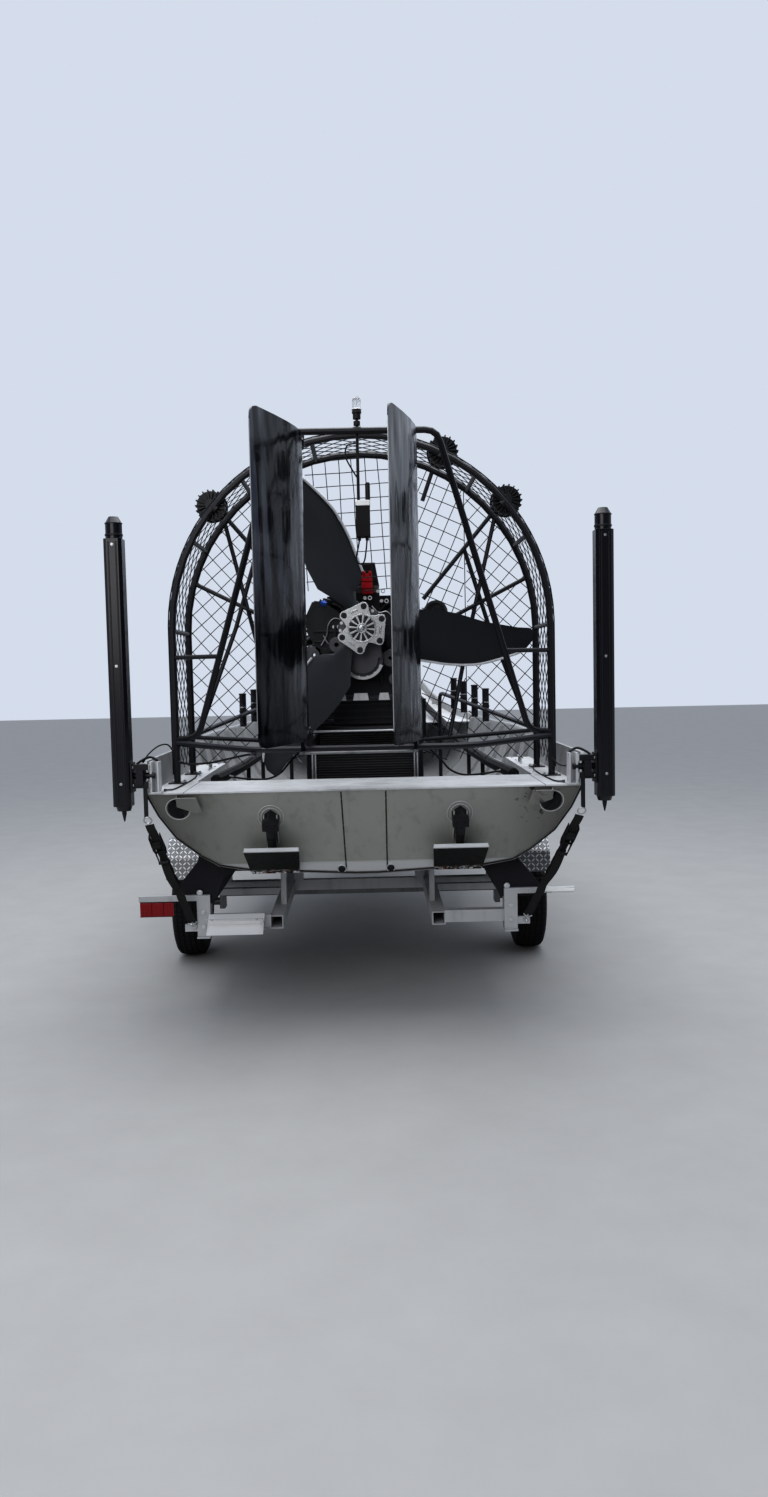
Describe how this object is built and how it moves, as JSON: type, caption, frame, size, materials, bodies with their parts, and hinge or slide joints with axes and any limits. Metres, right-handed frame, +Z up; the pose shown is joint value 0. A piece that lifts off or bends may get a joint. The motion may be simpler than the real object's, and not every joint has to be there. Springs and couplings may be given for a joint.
{
  "type": "airboat on trailer",
  "caption": "Aluminium airboat with a caged propeller, tall twin rudders, stern anchors and trim tabs, on an open-rail road trailer with wheels and a tongue jack.",
  "frame": {"origin": "on the ground, under the middle of the whole object's box", "axes": "+Z up, +Y towards the bow and the trailer's coupler, +X to starboard"},
  "size_m": [2.53, 7.1937, 3.229],
  "materials": {
    "bare_aluminium": "pale grey mill-finish sheet, brushed by use",
    "deck_aluminium": "bright bare plate, worn and streaked",
    "black_paint": "semi-gloss black powder coat",
    "gloss_black": "mirror-gloss black",
    "carbon_black": "matte dark composite",
    "engine_metal": "dark cast metal with black covers",
    "cast_metal": "dark anodised casting",
    "steel": "plain stainless steel",
    "seat_vinyl": "black marine vinyl",
    "bunk_carpet": "black marine carpet",
    "rubber_edge": "black rubber covered tube",
    "tyre": "black rubber on a pale wheel",
    "lamp_red": "red lens",
    "plate_white": "white blank plate",
    "webbing": "black woven strap"
  },
  "bodies": {
    "boat_on_trailer": {"hull_shell": "bare_aluminium", "transom": "bare_aluminium", "cockpit_floor": "bare_aluminium", "seat_stand": "bare_aluminium", "trailer_frame": "bare_aluminium", "stern_deck": "deck_aluminium", "side_deck_left": "deck_aluminium", "side_deck_right": "deck_aluminium", "foredeck": "deck_aluminium", "anchor_bracket_left": "deck_aluminium", "anchor_bracket_right": "deck_aluminium", "fender_left": "deck_aluminium", "fender_right": "deck_aluminium", "cage_rear_hoop": "black_paint", "cage_front_frame": "black_paint", "rudder_frame": "black_paint", "side_rail_left": "black_paint", "side_rail_right": "black_paint", "exhaust_left": "black_paint", "exhaust_right": "black_paint", "radiator": "black_paint", "anchor_column_left": "gloss_black", "anchor_column_right": "gloss_black", "fuel_tank": "carbon_black", "engine_intake": "carbon_black", "engine_block": "engine_metal", "reduction_drive": "cast_metal", "light_mast": "cast_metal", "engine_stand": "steel", "cage_net": "steel", "cage_net_band": "steel", "rudder_stick": "steel", "axle": "steel", "winch_post": "steel", "driver_seat": "seat_vinyl", "passenger_seat": "seat_vinyl", "bunk_left": "bunk_carpet", "bunk_right": "bunk_carpet", "coaming": "rubber_edge", "tail_lamp": "lamp_red", "number_plate": "plate_white", "strap_left": "webbing", "strap_right": "webbing"},
    "propeller": {"propeller": "carbon_black"},
    "rudder_left": {"rudder_left": "gloss_black"},
    "rudder_right": {"rudder_right": "gloss_black"},
    "rudder_tie_rod": {"rudder_tie_rod": "steel"},
    "trim_tab_left": {"trim_tab_left": "cast_metal"},
    "trim_tab_right": {"trim_tab_right": "cast_metal"},
    "tab_cylinder_left": {"tab_cylinder_left": "black_paint"},
    "tab_cylinder_right": {"tab_cylinder_right": "black_paint"},
    "tab_rod_left": {"tab_rod_left": "steel"},
    "tab_rod_right": {"tab_rod_right": "steel"},
    "wheel_left": {"wheel_left": "tyre"},
    "wheel_right": {"wheel_right": "tyre"},
    "jack_leg": {"jack_leg": "steel"},
    "anchor_spike_left": {"anchor_spike_left": "steel"},
    "anchor_spike_right": {"anchor_spike_right": "steel"}
  },
  "joints": [
    {"name": "propeller_spin", "type": "hinge", "parent": "boat_on_trailer", "child": "propeller", "pos_m": [0, -2.21, 2.09], "axis": [0, 1, 0], "continuous": true},
    {"name": "rudder_left_turn", "type": "hinge", "parent": "boat_on_trailer", "child": "rudder_left", "pos_m": [-0.28, -2.9, 2.25], "axis": [0, 0, 1], "range_deg": [-20, 48]},
    {"name": "rudder_right_turn", "type": "hinge", "parent": "boat_on_trailer", "child": "rudder_right", "pos_m": [0.28, -2.9, 2.25], "axis": [0, 0, 1], "range_deg": [-20, 48]},
    {"name": "tie_rod_turn", "type": "hinge", "parent": "rudder_left", "child": "rudder_tie_rod", "pos_m": [-0.30753, -3.00133, 1.447], "axis": [0, 0, 1], "range_deg": [-48, 20]},
    {"name": "tab_left_turn", "type": "hinge", "parent": "boat_on_trailer", "child": "trim_tab_left", "pos_m": [-0.49, -2.6397, 0.785], "axis": [1, 0, 0], "range_deg": [0, 24]},
    {"name": "tab_cylinder_left_turn", "type": "hinge", "parent": "boat_on_trailer", "child": "tab_cylinder_left", "pos_m": [-0.49, -2.85, 1.098], "axis": [1, 0, 0], "range_deg": [-16, 0]},
    {"name": "tab_rod_left_slide", "type": "slide", "parent": "tab_cylinder_left", "child": "tab_rod_left", "axis": [0, 0.3495, -0.9369], "range_m": [0, 0.058]},
    {"name": "tab_right_turn", "type": "hinge", "parent": "boat_on_trailer", "child": "trim_tab_right", "pos_m": [0.49, -2.6397, 0.785], "axis": [1, 0, 0], "range_deg": [0, 24]},
    {"name": "tab_cylinder_right_turn", "type": "hinge", "parent": "boat_on_trailer", "child": "tab_cylinder_right", "pos_m": [0.49, -2.85, 1.098], "axis": [1, 0, 0], "range_deg": [-16, 0]},
    {"name": "tab_rod_right_slide", "type": "slide", "parent": "tab_cylinder_right", "child": "tab_rod_right", "axis": [0, 0.3495, -0.9369], "range_m": [0, 0.058]},
    {"name": "wheel_left_spin", "type": "hinge", "parent": "boat_on_trailer", "child": "wheel_left", "pos_m": [-1.164, -1.25, 0.343], "axis": [1, 0, 0], "continuous": true},
    {"name": "wheel_right_spin", "type": "hinge", "parent": "boat_on_trailer", "child": "wheel_right", "pos_m": [1.052, -1.25, 0.343], "axis": [1, 0, 0], "continuous": true},
    {"name": "jack_slide", "type": "slide", "parent": "boat_on_trailer", "child": "jack_leg", "axis": [0, 0, 1], "range_m": [0, 0.24]},
    {"name": "spike_left_slide", "type": "slide", "parent": "boat_on_trailer", "child": "anchor_spike_left", "axis": [0, 0, -1], "range_m": [0, 1]},
    {"name": "spike_right_slide", "type": "slide", "parent": "boat_on_trailer", "child": "anchor_spike_right", "axis": [0, 0, -1], "range_m": [0, 1]}
  ],
  "couplings": [
    {"joint": "rudder_right_turn", "follows": "rudder_left_turn", "ratio": 1},
    {"joint": "tie_rod_turn", "follows": "rudder_left_turn", "ratio": -1},
    {"joint": "tab_cylinder_left_turn", "follows": "tab_left_turn", "ratio": -0.63},
    {"joint": "tab_rod_left_slide", "follows": "tab_left_turn", "m_per_rad": 0.1335},
    {"joint": "tab_cylinder_right_turn", "follows": "tab_right_turn", "ratio": -0.63},
    {"joint": "tab_rod_right_slide", "follows": "tab_right_turn", "m_per_rad": 0.1335}
  ]
}
